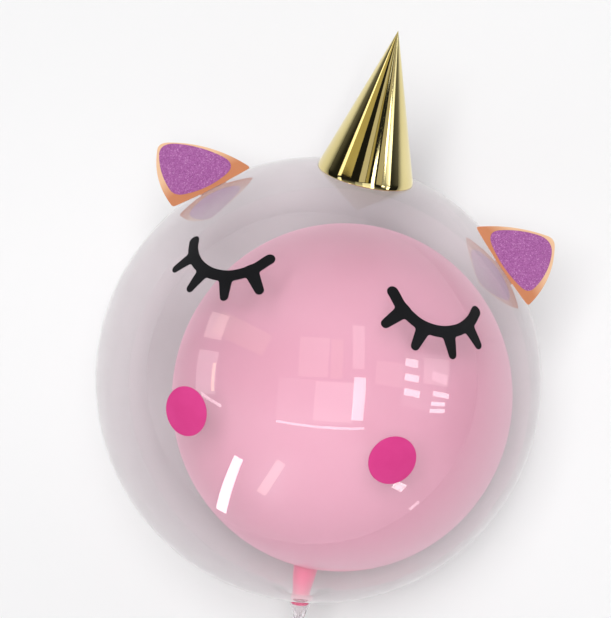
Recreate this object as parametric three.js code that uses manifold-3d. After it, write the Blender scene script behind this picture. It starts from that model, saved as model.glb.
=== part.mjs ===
// A clear bubble balloon with a pink balloon inside it, dressed as a sleeping unicorn.
// Millimetres, +Z up. The balloon lies on its back, face up, on a small flat spot, and the
// origin is the middle of that spot. +Y points to the horn, +X to the viewer's right.
import * as THREE from 'three';
import { mergeVertices } from 'three/addons/utils/BufferGeometryUtils.js';
import Module from 'manifold-3d';

const wasm = await Module();
wasm.setup();

// Sizes of the clear bubble
const BUBBLE_RADIUS = 225;
const FILM_WALL = 0.5;
const REST_SPOT_RADIUS = 30;
const FLARE_RADIUS = 30;
const FLARE_LENGTH = 14;
const PINCH_RADIUS = 3.8;
const PINCH_LENGTH = 22;
const TAIL_LENGTH = 24;
const TAIL_RADIUS = 9;
const TAIL_BORE_RADIUS = 1.5;

// Shares of its own length at which the neck turns in, and of radius and length at the tail's waist
const KNEE_SHARE = 0.35;
const WAIST_RADIUS_SHARE = 0.55;
const WAIST_LENGTH_SHARE = 0.45;
const CAVITY_END_SHARE = 0.75;

// Sizes of the pink balloon inside it, which is a little longer than it is wide
const INNER_RADIUS = 175.5;
const INNER_STRETCH_SHARE = 0.023;
const NECK_STEP_SHARES = [0.12, 0.3, 0.45, 0.6, 0.75];
const LATEX_WALL = 0.4;
const INNER_CLEARANCE = 2;
const LATEX_NECK_RADIUS = 12.5;
const LATEX_NECK_END_RADIUS = 8.8;
const LIP_BEAD = 1;
const LIP_END_HEIGHT = 17;
const NECK_BEND_HEIGHT = 1;

// Sizes of the horn, a cone rolled from card
const HORN_RIM_RADIUS = 48;
const HORN_LENGTH = 144.5;
const CARD_WALL = 0.5;

// Sizes of the ears, seen from the front, with the outer side away from the horn. The trims are
// the shares of each side that its rounded corners take, from the inner base corner on.
const EAR_BASE_BOW = 1.4;
const CARD_TRIMS = [0.06, 0.06, 0.1];
const GLITTER_TRIMS = [0.17, 0.12, 0.18];
const GLITTER_THICKNESS = 0.4;
const TAB_WIDTH = 28;
const TAB_DEPTH = 9;
const EARS = {
  left: {
    colatitude: 68.2, azimuth: -41.6, turn: -6, outer: 44, inner: 42.7, height: 64.2, apex: 25,
    outerBulge: 8, innerBulge: 8,
  },
  right: {
    colatitude: 70.3, azimuth: 47.5, turn: 15.5, outer: 40.6, inner: 52.7, height: 60, apex: -4,
    outerBulge: 8, innerBulge: 4.8,
  },
};

// How far each glitter panel's corners lie in from its card's, and how far its sides bow out
const GLITTER = {
  left: {
    inner: 11.1, outer: 7.1, base: 9.6, tip: 1, apex: 1.1,
    baseBulge: 6.8, outerBulge: 6.2, innerBulge: 6.2,
  },
  right: {
    inner: 9.8, outer: 10.8, base: 7.1, tip: 3, apex: -0.2,
    baseBulge: 5.6, outerBulge: 7.4, innerBulge: 5.2,
  },
};

// Sizes of the stickers. An eye is drawn as its own left one, from its outer end inwards.
const VINYL_THICKNESS = 0.4;
const CHEEK_RADIUS = 23;
const LID_WIDTH = 11;
const LASH_ROOT_WIDTH = 13.6;
const LASH_TIP_WIDTH = 8.8;
const LID_LINE = [
  [-49, 23.5], [-42, 11], [-28.5, -1], [-9, -7.7], [12, -6], [30, 5], [40.5, 19.5]];
const LASH_ROOTS = [[-41.5, 4], [-19.7, -11.5], [9.3, -11.5], [30, 3]];
const LASH_TIPS = [[-53.6, -8], [-25, -25.4], [14.6, -26.6], [45, -12]];

// Where things sit on the bubble: degrees down from the top, then round from the horn's side
const HORN_PLACE = { colatitude: 68, azimuth: 0.9 };
const NECK_PLACE = { colatitude: 105, azimuth: 172 };
const EYE_PLACES = {
  left: { colatitude: 33, azimuth: -50.6 },
  right: { colatitude: 34.6, azimuth: 53.7 },
};
const CHEEK_PLACES = {
  left: { colatitude: 29.5, azimuth: -121.3 },
  right: { colatitude: 30.1, azimuth: 119.3 },
};
const INNER_LEAN = { colatitude: 143.8, azimuth: 115.3 };

// Gap between touching pieces, how far a cut runs past what it cuts, and how finely round forms
// are divided
const FIT_GAP = 0.3;
const CUT_MARGIN = 20;
const FACET_ALLOWANCE = 0.4;
const BUBBLE_SIDES = 40;
const BUBBLE_RINGS = 19;
const NECK_SIDES = 16;
const INNER_SIDES = 28;
const INNER_RINGS = 14;
const HORN_SIDES = 48;
const STICKER_SIDES = 24;
const PATCH_STEP = 12;
const FLARE_STEPS = 8;
const TAIL_STEPS = 4;
const STROKE_END_STEPS = 4;
const PETAL_SIDE_STEPS = 6;
const PETAL_CORNER_STEPS = 3;

const CENTRE_HEIGHT = Math.sqrt(BUBBLE_RADIUS ** 2 - REST_SPOT_RADIUS ** 2);
const SKIN_RADIUS = BUBBLE_RADIUS + FIT_GAP;

const radians = THREE.MathUtils.degToRad;

// Shared corners are merged, flat triangles dropped and the faces turned outwards
function closed(geometry) {
  geometry.deleteAttribute('normal');
  geometry.deleteAttribute('uv');
  const merged = mergeVertices(geometry, 1e-4);
  const place = merged.getAttribute('position');
  const corner = (i) => new THREE.Vector3().fromBufferAttribute(place, i);
  const kept = [];
  let volume = 0;
  for (let i = 0; i < merged.index.count; i += 3) {
    const [a, b, c] = [0, 1, 2].map((k) => merged.index.getX(i + k));
    if (a === b || b === c || c === a) continue;
    kept.push([a, b, c]);
    volume += corner(a).dot(corner(b).cross(corner(c)));
  }
  merged.setIndex(kept.flatMap(([a, b, c]) => (volume < 0 ? [a, c, b] : [a, b, c])));
  return merged;
}

function solid(geometry) {
  const bare = closed(geometry);
  return new wasm.Manifold(new wasm.Mesh({
    numProp: 3,
    vertProperties: Float32Array.from(bare.getAttribute('position').array),
    triVerts: Uint32Array.from(bare.index.array),
  }));
}

function surface(body) {
  const mesh = body.getMesh();
  const geometry = new THREE.BufferGeometry();
  geometry.setAttribute('position', new THREE.BufferAttribute(mesh.vertProperties, 3));
  geometry.setIndex(new THREE.BufferAttribute(mesh.triVerts, 1));
  return geometry;
}

// A profile of [radius, height] points turned about the local Z axis
function turned(profile, sides) {
  const points = profile.map(([radius, height]) => new THREE.Vector2(radius, height));
  return new THREE.LatheGeometry(points, sides).rotateX(Math.PI / 2);
}

// Points of a circle round the origin, from one angle to another, both down from the top
function arc(radius, from, to, steps) {
  return Array.from({ length: steps + 1 }, (_, i) => {
    const angle = from + ((to - from) * i) / steps;
    return [radius * Math.sin(angle), radius * Math.cos(angle)];
  });
}

// A profile moved sideways, to its left as it runs, by a wall's thickness
function shifted(profile, distance) {
  return profile.map(([x, y], i) => {
    const before = profile[Math.max(i - 1, 0)];
    const after = profile[Math.min(i + 1, profile.length - 1)];
    const run = new THREE.Vector2(after[0] - before[0], after[1] - before[1]).normalize();
    return [x - run.y * distance, y + run.x * distance];
  });
}

function smooth(points, steps) {
  const curve = new THREE.SplineCurve(points.map(([x, y]) => new THREE.Vector2(x, y)));
  return curve.getPoints(steps).map((p) => [p.x, p.y]);
}

function outward({ colatitude, azimuth }) {
  const down = radians(colatitude);
  const round = radians(azimuth);
  return new THREE.Vector3(
    Math.sin(down) * Math.sin(round), Math.sin(down) * Math.cos(round), Math.cos(down));
}

// Turns local +Z to a place on the bubble, with local +Y as near as can be to the horn's side
function facing(place) {
  const normal = outward(place);
  const right = new THREE.Vector3(0, 1, 0).cross(normal).normalize();
  const up = normal.clone().cross(right);
  return new THREE.Quaternion().setFromRotationMatrix(
    new THREE.Matrix4().makeBasis(right, up, normal));
}

// The clear bubble, turned about its neck's axis, hollow through to a fine bore in its tail. It is
// parted round its flare into the ball and the neck, each of them a simple form.
function bubble(portion) {
  const sides = portion === 'ball' ? BUBBLE_SIDES : NECK_SIDES;
  const turn = new THREE.Matrix4().makeRotationFromQuaternion(facing(NECK_PLACE));
  const skin = neckProfile(BUBBLE_RADIUS, 0);
  const cavity = neckProfile(BUBBLE_RADIUS - FILM_WALL, FILM_WALL);
  const ground = (height) => {
    const block = new THREE.BoxGeometry(BUBBLE_RADIUS * 2, BUBBLE_RADIUS * 2, BUBBLE_RADIUS);
    return solid(block.translate(0, 0, height - BUBBLE_RADIUS / 2));
  };
  const neckLength = LIP_END_HEIGHT + PINCH_LENGTH + TAIL_LENGTH + CUT_MARGIN;
  const core = (radius) => {
    const column = [[0, 0], [radius, 0], [radius, BUBBLE_RADIUS + neckLength],
      [0, BUBBLE_RADIUS + neckLength]];
    return solid(turned(column, sides).applyMatrix4(turn));
  };
  const outside = solid(turned(skin, sides).applyMatrix4(turn));
  const inside = solid(turned(cavity, sides).applyMatrix4(turn));
  const body = outside.subtract(ground(-CENTRE_HEIGHT))
    .subtract(inside.subtract(ground(FILM_WALL - CENTRE_HEIGHT)));
  return surface(portion === 'ball' ? body.subtract(core(FLARE_RADIUS + FIT_GAP))
    : body.intersect(core(FLARE_RADIUS)));
}

// Half outline of the bubble from its far pole, over the flare and sleeve, to the tail's end
function neckProfile(radius, wall) {
  const flareAngle = Math.asin(FLARE_RADIUS / BUBBLE_RADIUS);
  const flareHeight = BUBBLE_RADIUS * Math.cos(flareAngle);
  const sleeve = LATEX_NECK_END_RADIUS + LIP_BEAD + FIT_GAP + FACET_ALLOWANCE + FILM_WALL;
  const sleeveHeight = BUBBLE_RADIUS + LIP_END_HEIGHT;
  const pinchHeight = sleeveHeight + PINCH_LENGTH;
  const endHeight = pinchHeight + TAIL_LENGTH;
  const ball = arc(radius, Math.PI, flareAngle, BUBBLE_RINGS);
  const { lerp } = THREE.MathUtils;
  const flare = smooth([
    [FLARE_RADIUS, flareHeight],
    [lerp(sleeve, FLARE_RADIUS, KNEE_SHARE), flareHeight + FLARE_LENGTH * KNEE_SHARE],
    [sleeve, flareHeight + FLARE_LENGTH],
    [sleeve, sleeveHeight],
    [(sleeve + PINCH_RADIUS) / 2, sleeveHeight + PINCH_LENGTH * KNEE_SHARE],
  ], FLARE_STEPS).slice(1);
  if (wall > 0) {
    const past = endHeight + CUT_MARGIN;
    const end = [TAIL_BORE_RADIUS, sleeveHeight + PINCH_LENGTH * CAVITY_END_SHARE];
    return [...ball, ...shifted(flare, wall), end, [TAIL_BORE_RADIUS, past], [0, past]];
  }
  const tail = smooth([
    [PINCH_RADIUS, pinchHeight],
    [lerp(PINCH_RADIUS, TAIL_RADIUS, WAIST_RADIUS_SHARE),
      pinchHeight + TAIL_LENGTH * WAIST_LENGTH_SHARE],
    [TAIL_RADIUS, endHeight],
  ], TAIL_STEPS);
  return [...ball, ...flare, ...tail, [0, endHeight]];
}

// The pink balloon, with its neck bent over into the bubble's neck
function innerBalloon() {
  const reach = BUBBLE_RADIUS - FILM_WALL - INNER_RADIUS - INNER_CLEARANCE;
  const centre = outward(INNER_LEAN).multiplyScalar(reach);
  const neckAxis = outward(NECK_PLACE);
  const bend = neckAxis.clone().multiplyScalar(BUBBLE_RADIUS + NECK_BEND_HEIGHT);
  const end = neckAxis.clone().multiplyScalar(BUBBLE_RADIUS + LIP_END_HEIGHT);
  const axis = bend.clone().sub(centre).normalize();
  const across = axis.clone().cross(neckAxis).normalize();
  const bendHeight = bend.distanceTo(centre);
  const endHeight = bendHeight + end.distanceTo(bend);

  const stretched = ([radius, height]) => [radius, height * (1 + INNER_STRETCH_SHARE)];
  const neckAngle = Math.asin(LATEX_NECK_RADIUS / INNER_RADIUS);
  const neckStart = stretched([0, INNER_RADIUS * Math.cos(neckAngle)])[1];
  const neckLength = endHeight - neckStart;
  const taper = (share) => THREE.MathUtils.lerp(LATEX_NECK_RADIUS, LATEX_NECK_END_RADIUS, share);
  const neck = NECK_STEP_SHARES.map((share) => [taper(share), neckStart + neckLength * share]);
  const outerNeck = [
    ...neck,
    [LATEX_NECK_END_RADIUS, endHeight - LIP_BEAD * 4],
    [LATEX_NECK_END_RADIUS + LIP_BEAD, endHeight - LIP_BEAD * 3],
    [LATEX_NECK_END_RADIUS + LIP_BEAD, endHeight - LIP_BEAD],
    [LATEX_NECK_END_RADIUS, endHeight],
  ];
  const innerNeck = [
    [LATEX_NECK_END_RADIUS - LATEX_WALL, endHeight],
    ...[...neck].reverse().map(([r, h]) => [r - LATEX_WALL, h]),
  ];
  const geometry = turned([
    ...arc(INNER_RADIUS, Math.PI, neckAngle, INNER_RINGS).map(stretched),
    ...outerNeck,
    ...innerNeck,
    ...arc(INNER_RADIUS - LATEX_WALL, neckAngle, Math.PI, INNER_RINGS).map(stretched),
  ], INNER_SIDES);

  // The axis runs straight to just past the ball, then curves round to the neck's axis
  const straight = neckStart;
  const start = centre.clone().addScaledVector(axis, straight);
  const route = new THREE.QuadraticBezierCurve3(start, bend, end);
  const place = geometry.getAttribute('position');
  for (let i = 0; i < place.count; i += 1) {
    const height = place.getZ(i);
    const share = (height - straight) / (endHeight - straight);
    const along = share > 0 ? route.getTangentAt(Math.min(share, 1)) : axis;
    const middle = share > 0 ? route.getPointAt(Math.min(share, 1))
      : centre.clone().addScaledVector(axis, height);
    const sideways = across.clone().cross(along);
    middle.addScaledVector(across, place.getX(i)).addScaledVector(sideways, place.getY(i));
    place.setXYZ(i, middle.x, middle.y, middle.z);
  }
  return closed(geometry);
}

// A shell patch of the skin round the local Z axis, which a flat outline is cut out of
function skinPatch(reach, thickness) {
  const angle = reach / SKIN_RADIUS;
  const rings = Math.ceil(reach / PATCH_STEP);
  return turned([
    ...arc(SKIN_RADIUS, 0, angle, rings),
    ...arc(SKIN_RADIUS + thickness, angle, 0, rings),
  ], STICKER_SIDES);
}

function extruded(shape, low, high) {
  const block = new THREE.ExtrudeGeometry(shape, { depth: high - low, bevelEnabled: false });
  return block.translate(0, 0, low);
}

// A straight stroke with round ends that tapers from one width to another
function stroke(start, end, startWidth, endWidth) {
  const angle = Math.atan2(end[1] - start[1], end[0] - start[0]);
  const shape = new THREE.Shape();
  shape.absarc(start[0], start[1], startWidth / 2, angle + Math.PI / 2, angle - Math.PI / 2);
  shape.absarc(end[0], end[1], endWidth / 2, angle - Math.PI / 2, angle + Math.PI / 2);
  const outline = new THREE.Shape(shape.getPoints(STROKE_END_STEPS));
  return solid(extruded(outline, 0, BUBBLE_RADIUS + CUT_MARGIN));
}

// The lid's line is a chain of strokes, and the lashes are tapered strokes that grow out of it
function eyelash(side) {
  const flip = side === 'left' ? 1 : -1;
  const [line, roots, tips] = [LID_LINE, LASH_ROOTS, LASH_TIPS]
    .map((points) => points.map(([x, y]) => [x * flip, y]));
  const strokes = line.slice(1).map((point, i) => stroke(line[i], point, LID_WIDTH, LID_WIDTH));
  roots.forEach((root, i) => {
    strokes.push(stroke(root, tips[i], LASH_ROOT_WIDTH, LASH_TIP_WIDTH));
  });
  const outline = strokes.reduce((whole, one) => whole.add(one));
  const reach = Math.max(...[...line, ...tips].map((point) => Math.hypot(...point)));
  return surface(outline.intersect(solid(skinPatch(reach + CUT_MARGIN, VINYL_THICKNESS))));
}

// The card cone, standing on the skin, its rim cut to the skin's curve
function horn() {
  const rimHeight = Math.sqrt(SKIN_RADIUS ** 2 - HORN_RIM_RADIUS ** 2);
  const tipHeight = rimHeight + HORN_LENGTH;
  const slope = HORN_RIM_RADIUS / HORN_LENGTH;
  const cone = (tip) => {
    const low = rimHeight - CUT_MARGIN;
    return solid(turned([[0, low], [(tip - low) * slope, low], [0, tip]], HORN_SIDES));
  };
  const drop = CARD_WALL / Math.sin(Math.atan(slope));
  const angle = Math.asin((HORN_RIM_RADIUS + CUT_MARGIN) / SKIN_RADIUS);
  const rings = Math.ceil((SKIN_RADIUS * angle) / PATCH_STEP);
  const ball = turned([[0, 0], ...arc(SKIN_RADIUS, angle, 0, rings)], HORN_SIDES);
  return surface(cone(tipHeight).subtract(cone(tipHeight - drop)).subtract(solid(ball)));
}

// A three cornered petal with bowed sides and rounded corners, base first
function petal(corners, bulges, trims) {
  const sides = corners.map(([x, y], i) => {
    const [nextX, nextY] = corners[(i + 1) % corners.length];
    const length = Math.hypot(nextX - x, nextY - y);
    const out = [(nextY - y) / length, -(nextX - x) / length];
    return new THREE.QuadraticBezierCurve(
      new THREE.Vector2(x, y),
      new THREE.Vector2((x + nextX) / 2, (y + nextY) / 2)
        .addScaledVector(new THREE.Vector2(...out), bulges[i] * 2),
      new THREE.Vector2(nextX, nextY));
  });
  const points = sides.flatMap((side, i) => {
    const next = (i + 1) % corners.length;
    const [from, to] = [trims[i], 1 - trims[next]];
    const run = Array.from({ length: PETAL_SIDE_STEPS + 1 },
      (_, k) => side.getPoint(from + ((to - from) * k) / PETAL_SIDE_STEPS));
    const after = sides[next].getPoint(trims[next]);
    const round = new THREE.QuadraticBezierCurve(side.getPoint(to), side.v2, after);
    return [...run, ...round.getPoints(PETAL_CORNER_STEPS).slice(1, -1)];
  });
  return new THREE.Shape(points);
}

// An ear stands straight up from the skin. Its own X runs along its base, Y away from its face
// and Z outwards. It is drawn with its outer side at +X, and mirrored for the left ear.
function earPlate({ inner, outer, low, apex, top }, bulges, trims, back, front, side) {
  const shape = petal([[-inner, low], [outer, low], [apex, top]], bulges, trims);
  const plate = extruded(shape, back, front).rotateX(Math.PI / 2);
  return side === 'left' ? plate.scale(-1, 1, 1) : plate;
}

function earCard(side) {
  const ear = EARS[side];
  const plate = earPlate({
    inner: ear.inner, outer: ear.outer, low: SKIN_RADIUS + EAR_BASE_BOW,
    apex: ear.apex, top: SKIN_RADIUS + ear.height,
  }, [EAR_BASE_BOW, ear.outerBulge, ear.innerBulge], CARD_TRIMS, -CARD_WALL / 2, CARD_WALL / 2, side);
  const tab = new THREE.BoxGeometry(TAB_WIDTH, TAB_DEPTH, TAB_DEPTH);
  tab.translate(0, (TAB_DEPTH - CARD_WALL) / 2, SKIN_RADIUS);
  const patch = skinPatch(Math.hypot(TAB_WIDTH / 2, TAB_DEPTH) + PATCH_STEP, CARD_WALL);
  return surface(solid(plate).add(solid(tab).intersect(solid(patch))));
}

function earGlitter(side) {
  const [ear, panel] = [EARS[side], GLITTER[side]];
  const back = CARD_WALL / 2 + FIT_GAP;
  return closed(earPlate({
    inner: ear.inner - panel.inner, outer: ear.outer - panel.outer,
    low: SKIN_RADIUS + EAR_BASE_BOW + panel.base,
    apex: ear.apex - panel.apex, top: SKIN_RADIUS + ear.height - panel.tip,
  }, [panel.baseBulge, panel.outerBulge, panel.innerBulge], GLITTER_TRIMS,
  back, back + GLITTER_THICKNESS, side));
}

function standing({ colatitude, azimuth, turn }) {
  const normal = outward({ colatitude, azimuth });
  const along = normal.clone().cross(new THREE.Vector3(0, 0, 1)).normalize();
  const back = normal.clone().cross(along);
  return new THREE.Quaternion()
    .setFromRotationMatrix(new THREE.Matrix4().makeBasis(along, back, normal))
    .multiply(new THREE.Quaternion().setFromAxisAngle(new THREE.Vector3(0, 0, 1), radians(turn)));
}

const finish = {
  film: { color: 0xe8e4e4, roughness: 0.05, metalness: 0, transparent: true, opacity: 0.3 },
  latex: { color: 0xeba6c2, roughness: 0.35, metalness: 0 },
  gold: { color: 0xd9bd62, roughness: 0.15, metalness: 1 },
  copper: { color: 0xdb9a66, roughness: 0.3, metalness: 1 },
  glitter: { color: 0xa858ac, roughness: 0.6, metalness: 0 },
  black: { color: 0x14161c, roughness: 0.4, metalness: 0 },
  magenta: { color: 0xd93c87, roughness: 0.4, metalness: 0 },
};

const unicorn = new THREE.Group();
const balloon = new THREE.Group();
balloon.position.z = CENTRE_HEIGHT;
unicorn.add(balloon);

function add(name, geometry, look, turn = new THREE.Quaternion()) {
  const mesh = new THREE.Mesh(
    geometry, new THREE.MeshStandardMaterial({ ...finish[look], flatShading: true }));
  mesh.name = name;
  mesh.quaternion.copy(turn);
  balloon.add(mesh);
}

add('bubble', bubble('ball'), 'film');
add('bubble_neck', bubble('neck'), 'film');
add('inner_balloon', innerBalloon(), 'latex');
add('horn', horn(), 'gold', facing(HORN_PLACE));
for (const side of ['left', 'right']) {
  add(`ear_${side}_card`, earCard(side), 'copper', standing(EARS[side]));
  add(`ear_${side}_glitter`, earGlitter(side), 'glitter', standing(EARS[side]));
  add(`eyelash_${side}`, eyelash(side), 'black', facing(EYE_PLACES[side]));
  add(`cheek_${side}`, closed(skinPatch(CHEEK_RADIUS, VINYL_THICKNESS)), 'magenta',
    facing(CHEEK_PLACES[side]));
}

export default unicorn;
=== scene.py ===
"""A clear bubble balloon with a pink balloon inside it, dressed as a sleeping unicorn.

It lies on its back, face up, on a small flat spot. Metres, +Z up, +Y towards the horn and
+X to the right of someone who looks at the face.
"""
import math

import bpy
import numpy as np
from mathutils import Matrix, Vector


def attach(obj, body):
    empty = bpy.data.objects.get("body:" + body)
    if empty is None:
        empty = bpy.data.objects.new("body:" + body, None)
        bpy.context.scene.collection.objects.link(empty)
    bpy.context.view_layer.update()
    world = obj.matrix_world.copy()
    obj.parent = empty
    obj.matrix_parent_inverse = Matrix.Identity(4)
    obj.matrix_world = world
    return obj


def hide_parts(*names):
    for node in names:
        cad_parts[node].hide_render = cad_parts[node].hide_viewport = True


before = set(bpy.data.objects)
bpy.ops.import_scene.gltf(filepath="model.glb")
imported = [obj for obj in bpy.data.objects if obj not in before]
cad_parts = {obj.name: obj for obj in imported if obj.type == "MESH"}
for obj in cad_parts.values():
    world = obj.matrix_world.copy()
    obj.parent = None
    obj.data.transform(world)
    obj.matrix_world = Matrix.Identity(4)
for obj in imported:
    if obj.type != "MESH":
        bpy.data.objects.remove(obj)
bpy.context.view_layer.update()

MM = 0.001

# Sizes of the bubble and of the balloon inside it, as in the CAD model
BUBBLE_RADIUS = 225 * MM
FILM_WALL = 0.5 * MM
REST_SPOT_RADIUS = 30 * MM
FLARE_RADIUS = 30 * MM
FLARE_LENGTH = 14 * MM
PINCH_RADIUS = 3.8 * MM
PINCH_LENGTH = 22 * MM
TAIL_LENGTH = 24 * MM
TAIL_RADIUS = 9 * MM
TAIL_BORE_RADIUS = 1.5 * MM
INNER_RADIUS = 175.5 * MM
INNER_STRETCH_SHARE = 0.023
LATEX_WALL = 0.4 * MM
INNER_CLEARANCE = 2 * MM
LATEX_NECK_RADIUS = 12.5 * MM
LATEX_NECK_END_RADIUS = 8.8 * MM
LIP_BEAD = 1 * MM
LIP_END_HEIGHT = 17 * MM
NECK_TINT_DEPTHS = (47 * MM, 38 * MM)
NECK_BEND_HEIGHT = 1 * MM
SLEEVE_RADIUS = 11 * MM
KNEE_SHARE = 0.35
FOLDS = 13
FOLD_DEPTH = 0.13

# Sizes of what is stuck on it. The horn's ripples: share of its radius, how many round it, phase
HORN_RIM_RADIUS = 48 * MM
HORN_LENGTH = 144.5 * MM
HORN_HEM = 5 * MM
HORN_CURL = 0.5 * MM
HORN_TIP_RADIUS = 0.1 * MM
HORN_HOLLOW_SHARE = 0.98
HORN_RIPPLES = ((0.003, 3, 0.4), (0.002, 7, 1.9), (0.0012, 12, 0.3))
RIPPLE_ROOM = 0.003
CARD_WALL = 0.5 * MM
FIT_GAP = 0.3 * MM
EAR_BASE_BOW = 1.4 * MM
CARD_TRIMS = (0.035, 0.035, 0.09)
GLITTER_TRIMS = (0.17, 0.12, 0.18)
GLITTER_THICKNESS = 0.4 * MM
TAB_WIDTH = 28 * MM
TAB_DEPTH = 9 * MM
PLATE_BEVEL = 0.1 * MM
# Where each ear stands and how far it is turned, in degrees, and its card's sizes in millimetres
EARS = {
    "left": {
        "colatitude": 68.2, "azimuth": -41.6, "turn": -6, "outer": 44, "inner": 42.7,
        "height": 64.2, "apex": 25, "outer_bulge": 8, "inner_bulge": 8,
    },
    "right": {
        "colatitude": 70.3, "azimuth": 47.5, "turn": 15.5, "outer": 40.6, "inner": 52.7,
        "height": 60, "apex": -4, "outer_bulge": 8, "inner_bulge": 4.8,
    },
}
# How far each glitter panel's corners lie in from its card's, and how far its sides bow out
GLITTER = {
    "left": {
        "inner": 11.1, "outer": 7.1, "base": 9.6, "tip": 1, "apex": 1.1, "bulges": (6.8, 6.2, 6.2),
    },
    "right": {
        "inner": 9.8, "outer": 10.8, "base": 7.1, "tip": 3, "apex": -0.2, "bulges": (5.6, 7.4, 5.2),
    },
}
VINYL_THICKNESS = 0.25 * MM
CHEEK_RADIUS = 23 * MM
# The left eyelash sticker as it lies flat, in millimetres: its lid, then each lash's root and tip
LID_WIDTH = 11
LASH_ROOT_WIDTH = 13.6
LASH_TIP_WIDTH = 8.8
LID_LINE = ((-49, 23.5), (-42, 11), (-28.5, -1), (-9, -7.7), (12, -6), (30, 5), (40.5, 19.5))
LASHES = (
    ((-41.5, 4), (-53.6, -8)),
    ((-19.7, -11.5), (-25, -25.4)),
    ((9.3, -11.5), (14.6, -26.6)),
    ((30, 3), (45, -12)),
)
LASH_FILLET = 2.4
LASH_SHEET = (124, 72)

# How finely the forms are cut
FILM_SIDES = 168
FILM_STEPS = 90
LATEX_SIDES = 128
LATEX_STEPS = 80
NECK_STEPS = 8
BEAD_STEPS = 8
HORN_SIDES = 240
HORN_RINGS = 40
HORN_LAST_RING = 0.985
HEM_RINGS = 7
SIDE_STEPS = 18
CORNER_STEPS = 8
PLATE_RINGS = 14
PLATE_FIRST_RING = 0.04
TAB_ROWS, TAB_COLUMNS = 5, 12
CHEEK_RINGS = 8
CHEEK_SIDES = 96
LID_STEPS = 12
LASH_CELL = 0.7

# Places on the bubble: degrees down from the top, then round from the horn's side
HORN_PLACE = (68, 0.9)
NECK_PLACE = (105, 172)
EYE_PLACES = {"left": (33, -50.6), "right": (34.6, 53.7)}
CHEEK_PLACES = {"left": (29.5, -121.3), "right": (30.1, 119.3)}
INNER_LEAN = (143.8, 115.3)

CENTRE = Vector((0, 0, math.sqrt(BUBBLE_RADIUS**2 - REST_SPOT_RADIUS**2)))
SKIN_RADIUS = BUBBLE_RADIUS + FIT_GAP

# The photograph's view: face turned and rolled a little, seen from 8 ball radii away
PHOTO_WIDTH, PHOTO_HEIGHT = 611, 618
BALL_IN_PHOTO = (318.35, 378.96)
BALL_RADIUS_PX = 223.06
CAMERA_DISTANCE = 8 * BUBBLE_RADIUS
CAMERA_YAW = math.radians(4.6)
CAMERA_ROLL = math.radians(13.9)
SENSOR_MM = 36
FOCAL_PX = BALL_RADIUS_PX * math.sqrt(CAMERA_DISTANCE**2 - BUBBLE_RADIUS**2) / BUBBLE_RADIUS

# Studio: a soft key lamp a little above and left of the camera, and surroundings whose grey
# depends on how far towards the horn or the tail a direction points
FLOOR_SIZE = 40
FLOOR_DROP = 0.5 * MM
KEY_DISTANCE = 3.2
KEY_SIZE = 1.1
KEY_RADIANCE = 25
KEY_RISE, KEY_LEFT = 0.09, 0.05
SKY_GREYS = ((0.0, 0.012), (0.14, 0.02), (0.45, 0.52))

# Lit panels that the glossy film mirrors, each placed by its highlight in the photograph:
# the highlight's middle, width, height and turn there, then the panel's radiance and colour
PANEL_DISTANCE = 2.6
WHITE, CREAM, YELLOW = (1, 1, 1), (1, 0.93, 0.8), (1, 0.85, 0.4)
PANELS = (
    (228, 485, 11, 56, 31, 8.0, WHITE),
    (271, 478, 10, 38, 30, 1.8, CREAM),
    (320, 402, 92, 44, 4, 0.35, WHITE),
    (334, 402, 40, 40, 4, 0.7, WHITE),
    (314, 357, 30, 40, 3, 0.6, CREAM),
    (337, 359, 12, 40, 3, 0.4, YELLOW),
    (390, 374, 28, 24, 8, 0.5, CREAM),
    (320, 427, 95, 2.6, 5, 3.6, WHITE),
    (359, 347, 12, 44, 3, 0.9, WHITE),
    (359, 399, 12, 44, 3, 4.2, WHITE),
    (206, 372, 20, 44, 6, 1.3, WHITE),
    (241, 333, 58, 24, 26, 0.5, YELLOW),
    (213, 377, 3, 28, 6, 3.4, YELLOW),
    (216, 326, 18, 26, 14, 1.6, CREAM),
    (211, 400, 24, 3, 32, 3.8, WHITE),
    (412, 363, 13, 8, 12, 4.0, WHITE),
    (412, 378, 14, 7, 12, 4.6, WHITE),
    (412, 393, 16, 7, 12, 4.4, WHITE),
    (440, 378, 16, 9, 20, 1.2, WHITE),
    (426, 382, 44, 58, 8, 0.35, WHITE),
    (437, 372, 26, 26, 8, 0.8, WHITE),
    (441, 395, 16, 5, 12, 4.6, WHITE),
    (438, 404, 14, 4, 4, 4.8, WHITE),
    (437, 411, 15, 4, 0, 4.6, WHITE),
    (399, 486, 11, 8, 25, 5.4, WHITE),
    (414, 505, 3, 12, 40, 2.6, WHITE),
)


def outward(place):
    """The direction from the ball's middle to a place on it."""
    down, round_ = (math.radians(a) for a in place)
    return Vector((
        math.sin(down) * math.sin(round_),
        math.sin(down) * math.cos(round_),
        math.cos(down),
    ))


def columns(right, up, out):
    """A turn whose columns are three directions."""
    return Matrix((right, up, out)).transposed()


def facing(place):
    """Turns local +Z to a place on the ball, with local +Y towards the horn's side."""
    out = outward(place)
    right = Vector((0, 1, 0)).cross(out).normalized()
    return columns(right, out.cross(right), out)


def standing(place, turn):
    """Local X along an ear's base, Y away from its face and Z outwards."""
    out = outward(place)
    along = out.cross(Vector((0, 0, 1))).normalized()
    stand = columns(along, out.cross(along), out)
    return stand @ Matrix.Rotation(math.radians(turn), 3, "Z")


def placed(points, turn):
    """Points of a piece's own frame, turned and set about the ball's middle."""
    return np.asarray(points) @ np.array(turn).T + np.array(CENTRE)


def domed(flat, radius):
    """Flat points lifted onto a ball of this radius."""
    flat = np.asarray(flat, float)
    return np.column_stack((flat, np.sqrt(radius**2 - (flat**2).sum(axis=1))))


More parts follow.
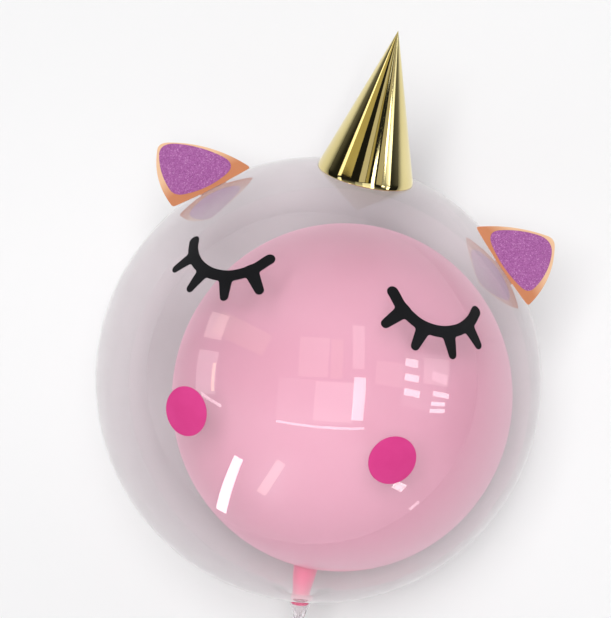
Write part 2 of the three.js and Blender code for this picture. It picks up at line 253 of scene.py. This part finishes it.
def mesh_object(name, points, faces, material, smooth=True):
    """A mesh of its own, linked to the scene."""
    mesh = bpy.data.meshes.new(name)
    mesh.from_pydata([tuple(p) for p in points], [], faces)
    mesh.validate()
    mesh.update()
    mesh.materials.append(material)
    if smooth:
        mesh.shade_smooth()
    made = bpy.data.objects.new(name, mesh)
    bpy.context.scene.collection.objects.link(made)
    return made


def arc(radius, start, end, steps):
    """Points [radius, height] of a circle, by angles down from the top."""
    angles = np.linspace(start, end, steps + 1)
    return np.column_stack((radius * np.sin(angles), radius * np.cos(angles)))


def smooth_line(points, steps):
    """A Catmull-Rom curve through points, with so many steps to each stretch."""
    points = np.asarray(points, float)
    padded = np.vstack((2 * points[0] - points[1], points, 2 * points[-1] - points[-2]))
    out = []
    for i in range(1, len(padded) - 2):
        a, b, c, d = padded[i - 1 : i + 3]
        for t in np.linspace(0, 1, steps, endpoint=False):
            out.append(0.5 * (
                2 * b + (c - a) * t + (2 * a - 5 * b + 4 * c - d) * t**2
                + (3 * b - a - 3 * c + d) * t**3
            ))
    out.append(points[-1])
    return np.array(out)


def shifted(line, distance):
    """A line moved to its left as it runs."""
    run = np.gradient(np.asarray(line, float), axis=0)
    run /= np.linalg.norm(run, axis=1)[:, None]
    return line + distance * np.column_stack((-run[:, 1], run[:, 0]))


def curve_point(start, pull, end, share):
    """A point on the curve from start to end that pull draws out."""
    return start * (1 - share) ** 2 + pull * 2 * share * (1 - share) + end * share * share


def band(low, high, count):
    """Faces between two closed rings of points, which start at these numbers."""
    return [
        [low + k, low + (k + 1) % count, high + (k + 1) % count, high + k]
        for k in range(count)
    ]


def thickened(faces, count):
    """Faces of a sheet whose lower points follow its upper ones, closed round its edge."""
    edges = dict.fromkeys(
        (a, b) for face in faces for a, b in zip(face, face[1:] + face[:1])
    )
    lower = [[count + v for v in face[::-1]] for face in faces]
    rim = [[b, a, count + a, count + b] for a, b in edges if (b, a) not in edges]
    return [list(face) for face in faces] + lower + rim


def lathe(profile, sides):
    """Points and faces of a profile turned about +Z. Points on the axis become one point."""
    angles = np.arange(sides) * (2 * math.pi / sides)
    points, rings = [], []
    for radius, height in profile:
        if radius < 1e-9:
            rings.append([len(points)] * sides)
            points.append((0, 0, height))
            continue
        rings.append(list(range(len(points), len(points) + sides)))
        points.extend((radius * math.cos(a), radius * math.sin(a), height) for a in angles)
    faces = []
    for low, high in zip(rings, rings[1:]):
        for k in range(sides):
            after = (k + 1) % sides
            corners = [low[k], low[after], high[after], high[k]]
            faces.append(list(dict.fromkeys(corners)))
    return np.array(points), faces


def neck_heights():
    """Heights over the ball's middle where the sleeve, the pinch and the tail end."""
    sleeve = BUBBLE_RADIUS + LIP_END_HEIGHT
    return sleeve, sleeve + PINCH_LENGTH, sleeve + PINCH_LENGTH + TAIL_LENGTH


def neck_line():
    """Flare, sleeve, pinch and flared tail of the bubble's film, as [radius, height]."""
    sleeve, pinch, end = neck_heights()
    flare = math.sqrt(BUBBLE_RADIUS**2 - FLARE_RADIUS**2)
    return smooth_line([
        (FLARE_RADIUS, flare),
        (SLEEVE_RADIUS + (FLARE_RADIUS - SLEEVE_RADIUS) * KNEE_SHARE,
         flare + FLARE_LENGTH * KNEE_SHARE),
        (SLEEVE_RADIUS, flare + FLARE_LENGTH),
        (SLEEVE_RADIUS, sleeve),
        ((SLEEVE_RADIUS + PINCH_RADIUS) / 2, sleeve + PINCH_LENGTH * 0.35),
        (PINCH_RADIUS, pinch),
        (PINCH_RADIUS + (TAIL_RADIUS - PINCH_RADIUS) * 0.55, pinch + TAIL_LENGTH * 0.45),
        (TAIL_RADIUS, end),
    ], NECK_STEPS)


def gathered(points):
    """Uneven lengthwise folds, deepening from the sleeve's end to the pinch."""
    sleeve, pinch, _ = neck_heights()
    share = np.clip((points[:, 2] - sleeve) / (pinch - sleeve), 0, 1)
    angle = np.arctan2(points[:, 1], points[:, 0])
    wave = np.cos(FOLDS * angle) + 0.45 * np.cos((2 * FOLDS - 3) * angle + 1.3)
    scale = 1 + FOLD_DEPTH * share * share * (3 - 2 * share) * wave
    return points * np.column_stack((scale, scale, np.ones(len(points))))


def bubble_film(material):
    """The film: an outer and an inner skin, open through a fine bore in the tail."""
    _, pinch, end = neck_heights()
    flare_angle = math.asin(FLARE_RADIUS / BUBBLE_RADIUS)
    neck = neck_line()
    open_neck = neck[neck[:, 1] < pinch - PINCH_LENGTH * 0.3]
    outer = np.vstack((arc(BUBBLE_RADIUS, math.pi, flare_angle, FILM_STEPS), neck[1:]))
    outer[0, 0] = 0
    ball = arc(BUBBLE_RADIUS - FILM_WALL, flare_angle, math.pi, FILM_STEPS)
    ball[-1, 0] = 0
    inner = np.vstack((
        [(TAIL_BORE_RADIUS, end), (TAIL_BORE_RADIUS, pinch)],
        shifted(open_neck, FILM_WALL)[:0:-1],
        ball,
    ))
    points, faces = lathe(np.vstack((outer, inner)), FILM_SIDES)
    outer_count = 1 + FILM_SIDES * (len(outer) - 1)
    points[:outer_count] = gathered(points[:outer_count])
    points = placed(points, facing(NECK_PLACE))
    lowest = np.where(np.arange(len(points)) < outer_count, 0.0, FILM_WALL)
    points[:, 2] = np.maximum(points[:, 2], lowest)
    return mesh_object("bubble_film", points, faces, material)


def latex_profile(neck_start, end):
    """Both skins of the pink balloon with its neck straight, as [radius, height]."""
    stretch = 1 + INNER_STRETCH_SHARE
    length = end - neck_start
    lip = LATEX_NECK_END_RADIUS
    root = LATEX_NECK_RADIUS * 2.1
    ball = arc(INNER_RADIUS, math.pi, math.asin(root / INNER_RADIUS), LATEX_STEPS)
    ball[0, 0] = 0
    ball[:, 1] *= stretch
    neck = smooth_line([
        (root, math.sqrt(INNER_RADIUS**2 - root**2) * stretch),
        (LATEX_NECK_RADIUS * 1.18, neck_start + length * 0.02),
        (LATEX_NECK_RADIUS, neck_start + length * 0.12),
        (LATEX_NECK_RADIUS * 0.93, neck_start + length * 0.3),
        (lip * 1.07, neck_start + length * 0.6),
        (lip, end - LIP_BEAD * 4.6),
    ], NECK_STEPS)
    turns = np.linspace(-math.pi / 2, math.pi / 2, BEAD_STEPS + 1)
    bead = np.column_stack((
        lip + LIP_BEAD * np.cos(turns),
        end - LIP_BEAD * 2 + LIP_BEAD * 1.9 * np.sin(turns),
    ))
    outside = np.vstack((ball, neck[1:]))
    inside = shifted(outside, LATEX_WALL)[::-1]
    inside[-1] = (0, LATEX_WALL - INNER_RADIUS * stretch)
    return np.vstack((outside, bead, inside))


def latex_balloon(material):
    """The pink balloon, its neck bent over into the bubble's neck."""
    reach = BUBBLE_RADIUS - FILM_WALL - INNER_RADIUS - INNER_CLEARANCE
    centre = outward(INNER_LEAN) * reach
    neck_axis = outward(NECK_PLACE)
    bend = neck_axis * (BUBBLE_RADIUS + NECK_BEND_HEIGHT)
    end = neck_axis * (BUBBLE_RADIUS + LIP_END_HEIGHT)
    axis = (bend - centre).normalized()
    across = axis.cross(neck_axis).normalized()
    neck_angle = math.asin(LATEX_NECK_RADIUS / INNER_RADIUS)
    neck_start = INNER_RADIUS * math.cos(neck_angle) * (1 + INNER_STRETCH_SHARE)
    start = centre + axis * neck_start
    end_height = (bend - centre).length + (end - bend).length

    def route(height):
        """Where the middle line is at this height of the straight form, and which way it runs."""
        share = min((height - neck_start) / (end_height - neck_start), 1)
        if share <= 0:
            return centre + axis * height, axis
        run = (bend - start) * (1 - share) + (end - bend) * share
        return curve_point(start, bend, end, share), run.normalized()

    straight, faces = lathe(latex_profile(neck_start, end_height), LATEX_SIDES)
    points = []
    for x, y, height in straight:
        middle, along = route(height)
        points.append(CENTRE + middle + across * x + along.cross(across) * y)
    return mesh_object("latex_balloon", points, faces, material)


def horn_radius(share, angle, wall):
    """The card's radius at a share of the horn's length, in by so much of its wall."""
    ripple = sum(size * math.cos(turns * angle + phase) for size, turns, phase in HORN_RIPPLES)
    curl = HORN_CURL * max(0.0, 1 - share * HORN_LENGTH / HORN_HEM) ** 2
    radius = HORN_RIM_RADIUS * (1 - share) * (1 - RIPPLE_ROOM + ripple) - curl - wall
    return max(radius, HORN_TIP_RADIUS)


def horn_cone(material):
    """A cone rolled from mirror card, a little uneven round its turn, its rim curled in."""
    rim = math.sqrt(SKIN_RADIUS**2 - HORN_RIM_RADIUS**2)
    hem = HORN_HEM / HORN_LENGTH
    shares = np.concatenate((
        np.linspace(0, hem, HEM_RINGS),
        np.linspace(hem * 1.4, HORN_LAST_RING, HORN_RINGS),
    ))
    angles = np.arange(HORN_SIDES) * (2 * math.pi / HORN_SIDES)
    points = []
    for wall in (0.0, CARD_WALL):
        for share in shares:
            for angle in angles:
                radius = horn_radius(share, angle, wall)
                points.append((
                    radius * math.cos(angle), radius * math.sin(angle), rim + HORN_LENGTH * share,
                ))
    tip = len(points)
    points.append((0, 0, rim + HORN_LENGTH))
    points.append((0, 0, rim + HORN_LENGTH * HORN_HOLLOW_SHARE))
    layer = len(shares) * HORN_SIDES
    top = layer - HORN_SIDES
    faces = band(layer, 0, HORN_SIDES)
    for ring in range(0, top, HORN_SIDES):
        faces += band(ring, ring + HORN_SIDES, HORN_SIDES)
        faces += band(layer + ring + HORN_SIDES, layer + ring, HORN_SIDES)
    for k in range(HORN_SIDES):
        after = (k + 1) % HORN_SIDES
        faces.append([top + k, top + after, tip])
        faces.append([layer + top + after, layer + top + k, tip + 1])
    return mesh_object("horn_cone", placed(points, facing(HORN_PLACE)), faces, material)


def petal(corners, bulges, trims):
    """Outline of a three-cornered petal with bowed sides and rounded corners."""
    corners = [np.array(corner, float) for corner in corners]
    pulls = []
    for i, corner in enumerate(corners):
        run = corners[(i + 1) % 3] - corner
        out = np.array((run[1], -run[0])) / np.linalg.norm(run)
        pulls.append(corner + run / 2 + out * bulges[i] * 2)

    def side(i, share):
        return curve_point(corners[i], pulls[i], corners[(i + 1) % 3], share)

    outline = []
    for i in range(3):
        after = (i + 1) % 3
        for share in np.linspace(trims[i], 1 - trims[after], SIDE_STEPS):
            outline.append(side(i, share))
        start, end = side(i, 1 - trims[after]), side(after, trims[after])
        for share in np.linspace(0, 1, CORNER_STEPS)[1:-1]:
            outline.append(curve_point(start, corners[after], end, share))
    return np.array(outline)


def plate(outline, back, front):
    """A thin plate with this outline in X and Z, between two depths, its edges bevelled."""
    middle = outline.mean(axis=0)
    away = outline - middle
    inset = middle + away * (1 - PLATE_BEVEL / np.linalg.norm(away, axis=1)[:, None])
    shares = np.linspace(PLATE_FIRST_RING, 1, PLATE_RINGS)
    rings = [middle + away * share for share in shares[:-1]] + [inset]
    layers = [(ring, -front) for ring in rings]
    layers += [(outline, PLATE_BEVEL - front), (outline, -PLATE_BEVEL - back)]
    layers += [(ring, -back) for ring in reversed(rings)]
    points = [(x, depth, z) for ring, depth in layers for x, z in ring]
    count = len(outline)
    last = len(points) - count
    faces = [list(range(count)), list(range(last, len(points)))[::-1]]
    for ring in range(0, last, count):
        faces += band(ring + count, ring, count)
    return np.array(points), faces


def card_outline(side):
    """An ear's card, drawn with its outer side at +X, in metres."""
    ear = EARS[side]
    low, top = SKIN_RADIUS + EAR_BASE_BOW, SKIN_RADIUS + ear["height"] * MM
    corners = ((-ear["inner"] * MM, low), (ear["outer"] * MM, low), (ear["apex"] * MM, top))
    bulges = (EAR_BASE_BOW, ear["outer_bulge"] * MM, ear["inner_bulge"] * MM)
    return petal(corners, bulges, CARD_TRIMS)


def glitter_outline(side):
    """The panel's outline, set in from its card's."""
    ear, panel = EARS[side], GLITTER[side]
    low = SKIN_RADIUS + EAR_BASE_BOW + panel["base"] * MM
    corners = (
        ((panel["inner"] - ear["inner"]) * MM, low),
        ((ear["outer"] - panel["outer"]) * MM, low),
        ((ear["apex"] - panel["apex"]) * MM, SKIN_RADIUS + (ear["height"] - panel["tip"]) * MM),
    )
    return petal(corners, [bulge * MM for bulge in panel["bulges"]], GLITTER_TRIMS)


def with_tab(points, faces):
    """Adds the glue tab, folded back from the middle of the card's base onto the skin."""
    xs = np.linspace(-TAB_WIDTH / 2, TAB_WIDTH / 2, TAB_COLUMNS)
    ys = np.linspace(0, TAB_DEPTH, TAB_ROWS)
    flat = [(x, y) for y in ys for x in xs]
    cells = [
        [k, k + 1, k + 1 + TAB_COLUMNS, k + TAB_COLUMNS]
        for row in range(TAB_ROWS - 1)
        for k in range(row * TAB_COLUMNS, (row + 1) * TAB_COLUMNS - 1)
    ]
    first = len(points)
    tab = [[first + v for v in face] for face in thickened(cells, len(flat))]
    points = np.vstack((points, domed(flat, SKIN_RADIUS + CARD_WALL), domed(flat, SKIN_RADIUS)))
    return points, faces + tab


def on_ear(name, side, points, faces, material):
    """Stands a plate where its ear is. It is drawn for the right, and mirrored on the left."""
    ear = EARS[side]
    if side == "left":
        points[:, 0] *= -1
        faces = [face[::-1] for face in faces]
    turn = standing((ear["colatitude"], ear["azimuth"]), ear["turn"])
    return mesh_object(name, placed(points, turn), faces, material, smooth=False)


def ear_card(side, material):
    """A three-cornered card and its glue tab."""
    points, faces = with_tab(*plate(card_outline(side), -CARD_WALL / 2, CARD_WALL / 2))
    return on_ear(f"ear_card_{side}", side, points, faces, material)


def glitter_panel(side, material):
    """The glitter panel in front of the card."""
    back = CARD_WALL / 2 + FIT_GAP
    points, faces = plate(glitter_outline(side), back, back + GLITTER_THICKNESS)
    return on_ear(f"glitter_panel_{side}", side, points, faces, material)


def sticker(name, flat, faces, place, material):
    """A thin sheet cut to flat faces, laid on the skin."""
    points = np.vstack((domed(flat, SKIN_RADIUS + VINYL_THICKNESS), domed(flat, SKIN_RADIUS)))
    made = mesh_object(name, placed(points, facing(place)), thickened(faces, len(flat)), material)
    made.data.set_sharp_from_angle(angle=math.radians(40))
    return made


def cheek(side, material):
    """A round sticker, its size measured along the skin."""
    flat = [(0.0, 0.0)]
    for ring in range(1, CHEEK_RINGS + 1):
        radius = SKIN_RADIUS * math.sin(CHEEK_RADIUS / SKIN_RADIUS * ring / CHEEK_RINGS)
        for k in range(CHEEK_SIDES):
            angle = 2 * math.pi * k / CHEEK_SIDES
            flat.append((radius * math.cos(angle), radius * math.sin(angle)))
    faces = [[0, 1 + k, 1 + (k + 1) % CHEEK_SIDES] for k in range(CHEEK_SIDES)]
    for ring in range(1, CHEEK_RINGS):
        start = 1 + (ring - 1) * CHEEK_SIDES
        faces += band(start + CHEEK_SIDES, start, CHEEK_SIDES)
    return sticker(f"cheek_sticker_{side}", flat, faces, CHEEK_PLACES[side], material)


def stroke_distance(points, start, end, start_width, end_width):
    """Signed distance, in millimetres, to a straight stroke with round ends."""
    start, end = np.array(start, float), np.array(end, float)
    run = end - start
    share = np.clip(((points - start) @ run) / (run @ run), 0, 1)
    near = start + share[:, None] * run
    width = start_width + (end_width - start_width) * share
    return np.linalg.norm(points - near, axis=1) - width / 2


def eyelash(side, material):
    """A lid and four lashes, cut from one sheet with softly rounded inside corners."""
    flip = 1 if side == "left" else -1
    xs, ys = (np.arange(-size / 2, size / 2, LASH_CELL) for size in LASH_SHEET)
    grid = np.array([(x, y) for y in ys for x in xs])
    lid = smooth_line(LID_LINE, LID_STEPS)
    parts = [stroke_distance(grid, a, b, LID_WIDTH, LID_WIDTH) for a, b in zip(lid, lid[1:])]
    whole = np.min(parts, axis=0)
    for root, tip in LASHES:
        lash = stroke_distance(grid, root, tip, LASH_ROOT_WIDTH, LASH_TIP_WIDTH)
        mix = np.clip(0.5 + 0.5 * (lash - whole) / LASH_FILLET, 0, 1)
        whole = lash * (1 - mix) + whole * mix - LASH_FILLET * mix * (1 - mix)
    whole = whole.reshape(len(ys), len(xs))
    flat, faces = cut_sheet(whole, xs * flip * MM, ys * MM)
    if flip < 0:
        faces = [face[::-1] for face in faces]
    return sticker(f"lash_sticker_{side}", flat, faces, EYE_PLACES[side], material)


def cut_sheet(field, xs, ys):
    """Faces of the region where field is negative, its edge cut through the grid's cells."""
    points, faces, seen = [], [], {}

    def point(key, x, y):
        if key not in seen:
            seen[key] = len(points)
            points.append((x, y))
        return seen[key]

    for i in range(len(ys) - 1):
        for j in range(len(xs) - 1):
            cell = [(i, j), (i, j + 1), (i + 1, j + 1), (i + 1, j)]
            face = []
            for (i0, j0), (i1, j1) in zip(cell, cell[1:] + cell[:1]):
                here, there = field[i0, j0], field[i1, j1]
                if here < 0:
                    face.append(point((i0, j0), xs[j0], ys[i0]))
                if (here < 0) != (there < 0):
                    share = here / (here - there)
                    key = tuple(sorted(((i0, j0), (i1, j1))))
                    x = xs[j0] + (xs[j1] - xs[j0]) * share
                    y = ys[i0] + (ys[i1] - ys[i0]) * share
                    face.append(point(key, x, y))
            if len(face) >= 3:
                faces.append(face)
    return points, faces


def new_material(name):
    """A material, with its nodes, its links and its main shader."""
    material = bpy.data.materials.new(name)
    material.use_nodes = True
    nodes = material.node_tree.nodes
    return material, nodes, material.node_tree.links, nodes["Principled BSDF"]


def noise(nodes, links, scale, detail):
    """Cloudy values from 0 to 1 over the object's own coordinates."""
    place = nodes.new("ShaderNodeTexCoord")
    texture = nodes.new("ShaderNodeTexNoise")
    texture.inputs["Scale"].default_value = scale
    texture.inputs["Detail"].default_value = detail
    links.new(place.outputs["Object"], texture.inputs["Vector"])
    return texture.outputs["Fac"]


def ramp(nodes, links, source, stops):
    """Colours for the values of a source, by where each colour stands."""
    made = nodes.new("ShaderNodeValToRGB")
    elements = made.color_ramp.elements
    while len(elements) < len(stops):
        elements.new(0.5)
    for element, (place, colour) in zip(elements, stops):
        element.position = place
        element.color = (*colour, 1)
    links.new(source, made.inputs["Fac"])
    return made.outputs["Color"]


def bump(nodes, links, height, strength, distance, target):
    """Fine relief on a shader's normal."""
    made = nodes.new("ShaderNodeBump")
    made.inputs["Strength"].default_value = strength
    made.inputs["Distance"].default_value = distance
    links.new(height, made.inputs["Height"])
    links.new(made.outputs["Normal"], target)


def ranged(nodes, links, source, low, high):
    """The source's values spread from 0 at low to 1 at high."""
    made = nodes.new("ShaderNodeMapRange")
    made.inputs["From Min"].default_value = low
    made.inputs["From Max"].default_value = high
    links.new(source, made.inputs["Value"])
    return made.outputs["Result"]


def measured(nodes, links, operation, vector):
    """A place's distance from a point, or its height along a direction."""
    place = nodes.new("ShaderNodeTexCoord")
    made = nodes.new("ShaderNodeVectorMath")
    made.operation = operation
    made.inputs[1].default_value = vector
    links.new(place.outputs["Object"], made.inputs[0])
    return made.outputs["Value"]


def film_material():
    """Clear film that lets most of the light through, shadow rays too."""
    material, nodes, links, film = new_material("clear_film")
    film.inputs["Base Color"].default_value = (0.94, 0.895, 0.915, 1)
    film.inputs["Roughness"].default_value = 0.0
    film.inputs["IOR"].default_value = 1.5
    film.inputs["Transmission Weight"].default_value = 0.965
    path = nodes.new("ShaderNodeLightPath")
    through = nodes.new("ShaderNodeBsdfTransparent")
    through.inputs["Color"].default_value = (0.86, 0.86, 0.86, 1)
    mix = nodes.new("ShaderNodeMixShader")
    links.new(path.outputs["Is Shadow Ray"], mix.inputs["Fac"])
    links.new(film.outputs["BSDF"], mix.inputs[1])
    links.new(through.outputs["BSDF"], mix.inputs[2])
    links.new(mix.outputs["Shader"], nodes["Material Output"].inputs["Surface"])
    return material


def latex_material():
    """Pastel pink, deeper where the unstretched neck is thick."""
    material, nodes, links, latex = new_material("pink_latex")
    neck_axis = outward(NECK_PLACE)
    skin = CENTRE.dot(neck_axis) + BUBBLE_RADIUS
    height = measured(nodes, links, "DOT_PRODUCT", neck_axis)
    along = ranged(nodes, links, height, skin - NECK_TINT_DEPTHS[0], skin - NECK_TINT_DEPTHS[1])
    pastel = ramp(nodes, links, noise(nodes, links, 5.0, 4.0), [
        (0.3, (0.85, 0.39, 0.53)), (0.7, (0.89, 0.44, 0.585)),
    ])
    blend = nodes.new("ShaderNodeMix")
    blend.data_type = "RGBA"
    links.new(along, blend.inputs["Factor"])
    links.new(pastel, blend.inputs["A"])
    blend.inputs["B"].default_value = (0.90, 0.09, 0.26, 1)
    links.new(blend.outputs["Result"], latex.inputs["Base Color"])
    latex.inputs["Roughness"].default_value = 0.32
    latex.inputs["Sheen Weight"].default_value = 0.6
    latex.inputs["Sheen Roughness"].default_value = 0.5
    latex.inputs["Sheen Tint"].default_value = (1.0, 0.55, 0.7, 1)
    return material


def card_material(name, pattern, dark, light, metal, roughness, grain):
    """Foil card whose colour runs from dark to light as its pattern does."""
    material, nodes, links, card = new_material(name)
    colour = ramp(nodes, links, pattern(nodes, links), [(0.35, dark), (0.65, light)])
    links.new(colour, card.inputs["Base Color"])
    card.inputs["Metallic"].default_value = metal
    card.inputs["Roughness"].default_value = roughness
    bump(nodes, links, noise(nodes, links, 900.0, 2.0), grain, 0.0002, card.inputs["Normal"])
    return material


def clouds(nodes, links):
    """Soft patches."""
    return noise(nodes, links, 14.0, 4.0)


def painted_shade_by_height(nodes, links):
    """0 at an ear's base, 1 at its tip: painted shade and reflection, the copper foil darker at its
    base and lighter towards its tip.
    """
    distance = measured(nodes, links, "DISTANCE", CENTRE)
    return ranged(nodes, links, distance, SKIN_RADIUS - 8 * MM, SKIN_RADIUS + 55 * MM)


def glitter_material():
    """Fine flakes, each with a shade and a tilt of its own."""
    material, nodes, links, flakes = new_material("purple_glitter")
    place = nodes.new("ShaderNodeTexCoord")
    cells = nodes.new("ShaderNodeTexVoronoi")
    cells.inputs["Scale"].default_value = 1300.0
    links.new(place.outputs["Object"], cells.inputs["Vector"])
    split = nodes.new("ShaderNodeSeparateColor")
    links.new(cells.outputs["Color"], split.inputs["Color"])
    colour = ramp(nodes, links, split.outputs["Red"], [
        (0.0, (0.28, 0.075, 0.26)), (0.5, (0.36, 0.10, 0.33)), (0.9, (0.44, 0.15, 0.41)),
        (1.0, (0.60, 0.30, 0.56)),
    ])
    links.new(colour, flakes.inputs["Base Color"])
    flakes.inputs["Metallic"].default_value = 0.2
    flakes.inputs["Roughness"].default_value = 0.42
    bump(nodes, links, split.outputs["Green"], 0.35, 0.0004, flakes.inputs["Normal"])
    return material


def vinyl_material(name, dark, light, roughness):
    """Satin sticker film with a faint grain."""
    material, nodes, links, vinyl = new_material(name)
    colour = ramp(nodes, links, noise(nodes, links, 30.0, 4.0), [(0.3, dark), (0.7, light)])
    links.new(colour, vinyl.inputs["Base Color"])
    vinyl.inputs["Roughness"].default_value = roughness
    vinyl.inputs["Specular IOR Level"].default_value = 0.2
    bump(nodes, links, noise(nodes, links, 700.0, 2.0), 0.15, 0.0002, vinyl.inputs["Normal"])
    return material


def floor_material():
    """Pale and matt."""
    material, _, _, floor = new_material("pale_floor")
    floor.inputs["Base Color"].default_value = (0.86, 0.86, 0.865, 1)
    floor.inputs["Roughness"].default_value = 0.8
    floor.inputs["Specular IOR Level"].default_value = 0.1
    return material


def settle(piece, slot, *nodes):
    """A finished piece rides on the one body and stands for its CAD nodes."""
    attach(piece, "root")
    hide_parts(*nodes)


def build_balloon():
    """All the pieces with their materials."""
    film, latex, glitter = film_material(), latex_material(), glitter_material()
    gold = card_material(
        "gold_card", clouds, (0.78, 0.66, 0.30), (0.86, 0.75, 0.38), 1.0, 0.05, 0.02)
    # The copper card runs from dark at the ear's base to light at its tip: painted shade and
    # reflection, not the foil's own colour.
    copper = card_material(
        "copper_card", painted_shade_by_height, (0.62, 0.24, 0.11), (0.88, 0.56, 0.34), 0.3, 0.35, 0.1)
    black = vinyl_material("black_vinyl", (0.003, 0.003, 0.004), (0.006, 0.006, 0.008), 0.55)
    pink = vinyl_material("pink_vinyl", (0.57, 0.036, 0.20), (0.62, 0.05, 0.235), 0.45)
    settle(bubble_film(film), "clear_film", "bubble", "bubble_neck")
    settle(latex_balloon(latex), "pink_latex", "inner_balloon")
    settle(horn_cone(gold), "gold_card", "horn")
    for side in ("left", "right"):
        settle(ear_card(side, copper), "copper_card", f"ear_{side}_card")
        settle(glitter_panel(side, glitter), "purple_glitter", f"ear_{side}_glitter")
        settle(eyelash(side, black), "black_vinyl", f"eyelash_{side}")
        settle(cheek(side, pink), "pink_vinyl", f"cheek_{side}")


def camera_axes():
    """Right, up and towards-the-camera directions of the photograph's view."""
    turn = Matrix.Rotation(CAMERA_YAW, 3, "Y")
    roll = Matrix.Rotation(CAMERA_ROLL, 3, "Z")
    return [turn @ roll @ Vector(axis) for axis in ((1, 0, 0), (0, 1, 0), (0, 0, 1))]


def photo_camera():
    """Aimed so that the ball falls where it does in the photograph."""
    right, up, back = camera_axes()
    place = CENTRE + back * CAMERA_DISTANCE
    metres_per_px = CAMERA_DISTANCE / FOCAL_PX
    aim = (CENTRE
           + right * (PHOTO_WIDTH / 2 - BALL_IN_PHOTO[0]) * metres_per_px
           - up * (PHOTO_HEIGHT / 2 - BALL_IN_PHOTO[1]) * metres_per_px)
    data = bpy.data.cameras.new("camera")
    data.sensor_width = SENSOR_MM
    data.lens = FOCAL_PX / max(PHOTO_WIDTH, PHOTO_HEIGHT) * SENSOR_MM
    camera = bpy.data.objects.new("camera", data)
    bpy.context.scene.collection.objects.link(camera)
    look = (aim - place).normalized()
    side = look.cross(up).normalized()
    camera.matrix_world = Matrix.Translation(place) @ columns(
        side, side.cross(look), -look).to_4x4()
    bpy.context.scene.camera = camera


def area_light(name, matrix, size, radiance, colour):
    """A rectangular lamp, its brightness given as radiance."""
    data = bpy.data.lights.new(name, "AREA")
    data.shape = "RECTANGLE"
    data.size, data.size_y = size
    data.energy = radiance * math.pi * size[0] * size[1]
    data.color = colour
    made = bpy.data.objects.new(name, data)
    made.matrix_world = matrix
    bpy.context.scene.collection.objects.link(made)
    return made


def key_lamp():
    """The soft lamp that lights the balloon. It isn't mirrored and isn't seen through the film."""
    right, up, back = camera_axes()
    away = (back + up * KEY_RISE - right * KEY_LEFT).normalized()
    aim = (-away).to_track_quat("-Z", "Y").to_matrix().to_4x4()
    matrix = Matrix.Translation(CENTRE + away * KEY_DISTANCE) @ aim
    made = area_light("key", matrix, (KEY_SIZE, KEY_SIZE), KEY_RADIANCE, WHITE)
    made.visible_glossy = False
    made.visible_transmission = False


def mirrored(x, y):
    """The place, PANEL_DISTANCE off, that the ball mirrors at a point of the photograph."""
    right, up, back = camera_axes()
    ray = right * (x - BALL_IN_PHOTO[0]) - up * (y - BALL_IN_PHOTO[1]) - back * FOCAL_PX
    ray.normalize()
    eye = back * CAMERA_DISTANCE
    along = ray.dot(eye)
    reach = -along - math.sqrt(along**2 - CAMERA_DISTANCE**2 + BUBBLE_RADIUS**2)
    skin = eye + ray * reach
    normal = skin / BUBBLE_RADIUS
    return CENTRE + skin + (ray - normal * 2 * ray.dot(normal)) * PANEL_DISTANCE


def softbox(number, x, y, width, height, turn, radiance, colour):
    """A lit panel whose highlight on the ball has this place, size and turn in the photograph."""
    angle = math.radians(turn)
    across = (math.cos(angle) * width / 2, math.sin(angle) * width / 2)
    down = (-math.sin(angle) * height / 2, math.cos(angle) * height / 2)
    side = mirrored(x + across[0], y + across[1]) - mirrored(x - across[0], y - across[1])
    rise = mirrored(x - down[0], y - down[1]) - mirrored(x + down[0], y + down[1])
    place = mirrored(x, y)
    out = (place - CENTRE).normalized()
    flat = (side - out * side.dot(out)).normalized()
    matrix = Matrix.Translation(place) @ columns(flat, out.cross(flat), out).to_4x4()
    made = area_light(f"panel_{number}", matrix, (side.length, rise.length), radiance, colour)
    made.visible_diffuse = False


def lay_floor():
    """A wide pale floor, just under the spot that the balloon lies on."""
    half = FLOOR_SIZE / 2
    corners = [
        (x * half, y * half, -FLOOR_DROP) for x, y in ((-1, -1), (1, -1), (1, 1), (-1, 1))
    ]
    floor = mesh_object("floor", corners, [[0, 1, 2, 3]], floor_material(), smooth=False)


def surroundings():
    """A dark band from side to side over the face, paler towards the horn and the tail."""
    world = bpy.data.worlds.new("studio")
    bpy.context.scene.world = world
    world.use_nodes = True
    nodes, links = world.node_tree.nodes, world.node_tree.links
    place = nodes.new("ShaderNodeTexCoord")
    split = nodes.new("ShaderNodeSeparateXYZ")
    links.new(place.outputs["Generated"], split.inputs["Vector"])
    width = nodes.new("ShaderNodeMath")
    width.operation = "ABSOLUTE"
    links.new(split.outputs["Y"], width.inputs[0])
    sky = ramp(nodes, links, width.outputs["Value"], [
        (share, (grey, grey, grey)) for share, grey in SKY_GREYS
    ])
    links.new(sky, nodes["Background"].inputs["Color"])


def studio():
    """Floor, lights and surroundings."""
    lay_floor()
    key_lamp()
    for number, panel in enumerate(PANELS, 1):
        softbox(number, *panel)
    surroundings()


photo_camera()
build_balloon()
studio()
bpy.context.scene.view_settings.view_transform = "Standard"
